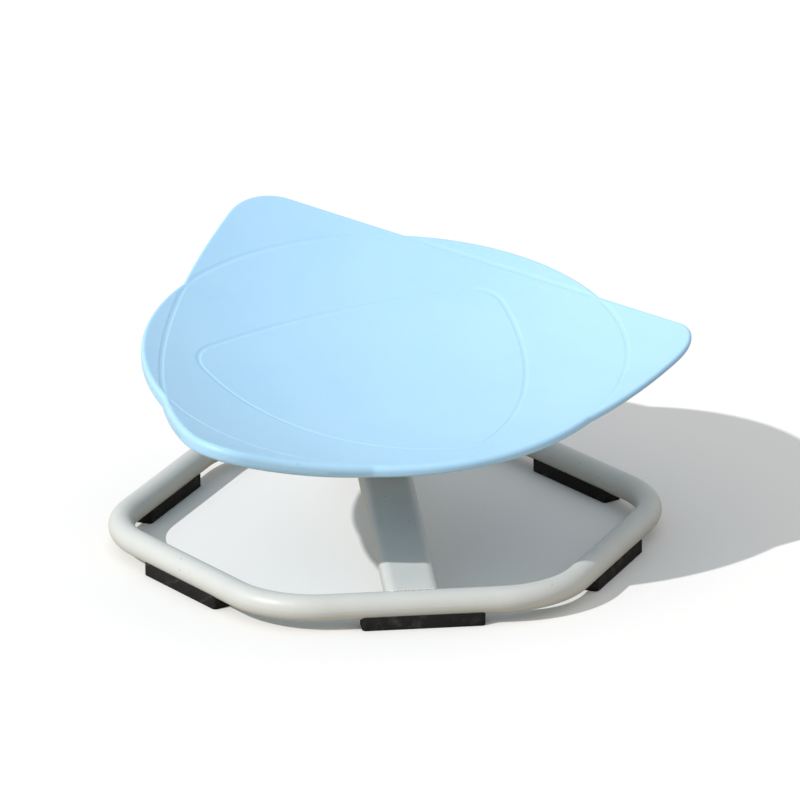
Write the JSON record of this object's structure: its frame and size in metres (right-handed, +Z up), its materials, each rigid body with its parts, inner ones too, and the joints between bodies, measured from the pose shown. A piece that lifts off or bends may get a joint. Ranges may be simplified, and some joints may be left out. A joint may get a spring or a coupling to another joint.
{
  "type": "tilted spinning seat",
  "caption": "Low spinning seat: a dished plastic seat with rounded corners turns on a tilted ball-bearing hub above a bent steel tube ring on rubber feet.",
  "frame": {"origin": "on the floor, under the middle of the ring", "axes": "+Z up, -Y to the front, where the seat leans down, +X to the right of someone who faces the front"},
  "size_m": [0.5489, 0.5044, 0.2634],
  "materials": {
    "frame_paint": "light grey powder coat, satin",
    "seat_plastic": "moulded light blue plastic, fine satin texture",
    "foot_rubber": "moulded black rubber, dusty",
    "machined_steel": "turned steel, lightly oiled",
    "bearing_steel": "ground and polished bearing steel",
    "zinc_plate": "bright zinc plate",
    "cage_nylon": "natural nylon",
    "seal_rubber": "black seal rubber",
    "insert_brass": "knurled brass"
  },
  "bodies": {
    "base": {"ring_tube": "frame_paint", "crossbar": "frame_paint", "front_weld": "frame_paint", "rear_weld": "frame_paint", "hub_post": "machined_steel", "post_weld": "frame_paint", "foot_front": "foot_rubber", "foot_front_right": "foot_rubber", "foot_rear_right": "foot_rubber", "foot_rear": "foot_rubber", "foot_rear_left": "foot_rubber", "foot_front_left": "foot_rubber", "foot_screws": "zinc_plate", "lower_inner_race": "bearing_steel", "upper_inner_race": "bearing_steel", "inner_spacer": "machined_steel", "lock_washer": "zinc_plate", "lock_nut": "zinc_plate"},
    "turntable": {"lower_outer_race": "bearing_steel", "upper_outer_race": "bearing_steel", "lower_seals": "seal_rubber", "upper_seals": "seal_rubber", "hub_housing": "frame_paint", "hub_plate": "frame_paint", "hub_weld": "frame_paint", "seat_bolts": "zinc_plate", "seat_washers": "zinc_plate", "seat_inserts": "insert_brass", "seat": "seat_plastic"},
    "lower_ball_set": {"lower_balls": "bearing_steel", "lower_cage": "cage_nylon"},
    "upper_ball_set": {"upper_balls": "bearing_steel", "upper_cage": "cage_nylon"}
  },
  "joints": [
    {"name": "seat_spin", "type": "hinge", "parent": "base", "child": "turntable", "pos_m": [0, 0, 0.15093], "axis": [0, -0.1564, 0.9877], "continuous": true},
    {"name": "lower_ball_roll", "type": "hinge", "parent": "base", "child": "lower_ball_set", "pos_m": [0, 0, 0.15093], "axis": [0, -0.1564, 0.9877], "continuous": true},
    {"name": "upper_ball_roll", "type": "hinge", "parent": "base", "child": "upper_ball_set", "pos_m": [0, 0, 0.15093], "axis": [0, -0.1564, 0.9877], "continuous": true}
  ],
  "couplings": [
    {"joint": "lower_ball_roll", "follows": "seat_spin", "ratio": 0.6024},
    {"joint": "upper_ball_roll", "follows": "seat_spin", "ratio": 0.6024}
  ]
}
